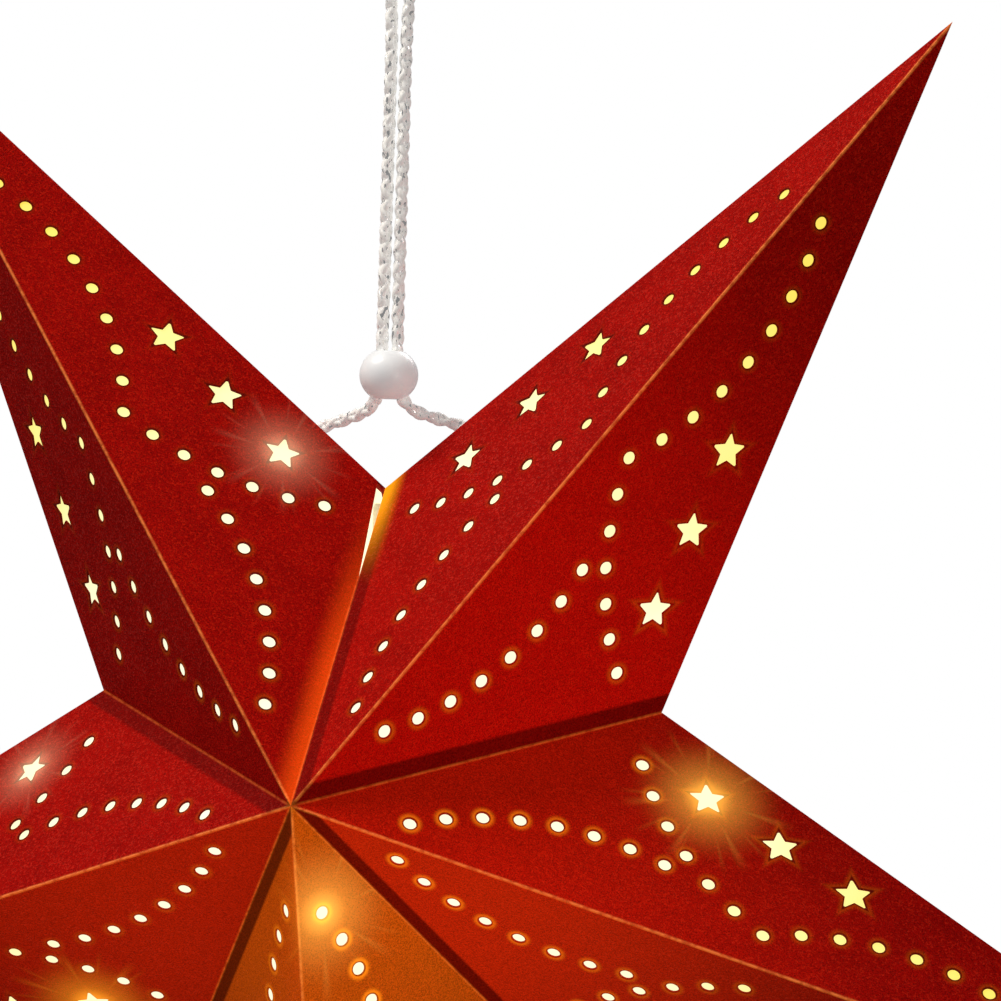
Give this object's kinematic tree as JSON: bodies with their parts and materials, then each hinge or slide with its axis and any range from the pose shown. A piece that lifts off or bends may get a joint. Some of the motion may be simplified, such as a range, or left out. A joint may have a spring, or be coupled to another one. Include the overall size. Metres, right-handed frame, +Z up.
{
  "type": "paper star lantern",
  "caption": "Folded card star lantern with punched dots and small stars, lit inside by a battery light set, hung by a doubled cord with a sliding bead.",
  "frame": {"origin": "where a hook bears on the inside of the cord's top loop", "axes": "+Z up along the cord, +Y through the star from front to back, +X to the right as seen from the front"},
  "size_m": [0.5992, 0.172, 0.6416],
  "materials": {
    "red_card": "deep red card with a fine glitter grain, lit from inside",
    "lining_tissue": "translucent cream tissue",
    "fastener_nylon": "woven nylon",
    "eyelet_metal": "polished",
    "silver_cord": "white braid with silver thread",
    "white_bead": "glossy white",
    "box_plastic": "moulded white",
    "switch_plastic": "moulded black",
    "board": "printed circuit board",
    "cell_jacket": "plain printed jacket",
    "contact_metal": "nickel plated",
    "wire_jacket": "clear-white insulation",
    "bulb_resin": "clear resin, warm white",
    "clip_plastic": "moulded white"
  },
  "bodies": {
    "star": {"upper_right_point_front_left_panel": "red_card", "upper_right_point_front_right_panel": "red_card", "upper_right_point_back_left_panel": "red_card", "upper_right_point_back_right_panel": "red_card", "upper_left_point_front_left_panel": "red_card", "upper_left_point_front_right_panel": "red_card", "upper_left_point_back_left_panel": "red_card", "upper_left_point_back_right_panel": "red_card", "left_point_front_left_panel": "red_card", "left_point_front_right_panel": "red_card", "left_point_back_left_panel": "red_card", "left_point_back_right_panel": "red_card", "bottom_point_front_left_panel": "red_card", "bottom_point_front_right_panel": "red_card", "bottom_point_back_left_panel": "red_card", "bottom_point_back_right_panel": "red_card", "lower_right_point_front_left_panel": "red_card", "lower_right_point_front_right_panel": "red_card", "lower_right_point_back_left_panel": "red_card", "lower_right_point_back_right_panel": "red_card", "upper_right_point_tissue_lining": "lining_tissue", "upper_left_point_tissue_lining": "lining_tissue", "left_point_tissue_lining": "lining_tissue", "bottom_point_tissue_lining": "lining_tissue", "lower_right_point_tissue_lining": "lining_tissue", "front_valley_glue_tabs": "red_card", "back_valley_glue_tabs": "red_card", "back_ridge_glue_tabs": "red_card", "seam_closing_tabs": "red_card", "seam_hook_fasteners": "fastener_nylon", "seam_loop_fasteners": "fastener_nylon", "cord_eyelets": "eyelet_metal", "cord_end_knots": "silver_cord", "hanging_cord": "silver_cord", "battery_box_base": "box_plastic", "switch_board": "board", "battery_cells": "cell_jacket", "battery_contact_plates": "contact_metal", "battery_contact_springs": "contact_metal", "light_wire": "wire_jacket", "wire_gland": "switch_plastic", "light_bulbs": "bulb_resin", "wire_clips": "clip_plastic"},
    "bead": {"cord_bead": "white_bead"},
    "battery_lid": {"battery_box_lid": "box_plastic"},
    "switch": {"switch_slider": "switch_plastic"}
  },
  "joints": [
    {"name": "bead_slide", "type": "slide", "parent": "star", "child": "bead", "axis": [0, 0, 1], "range_m": [0, 0.06]},
    {"name": "battery_lid_slide", "type": "slide", "parent": "star", "child": "battery_lid", "axis": [0, 0, 1], "range_m": [0, 0.05]},
    {"name": "switch_slide", "type": "slide", "parent": "star", "child": "switch", "axis": [1, 0, 0], "range_m": [0, 0.003]}
  ]
}
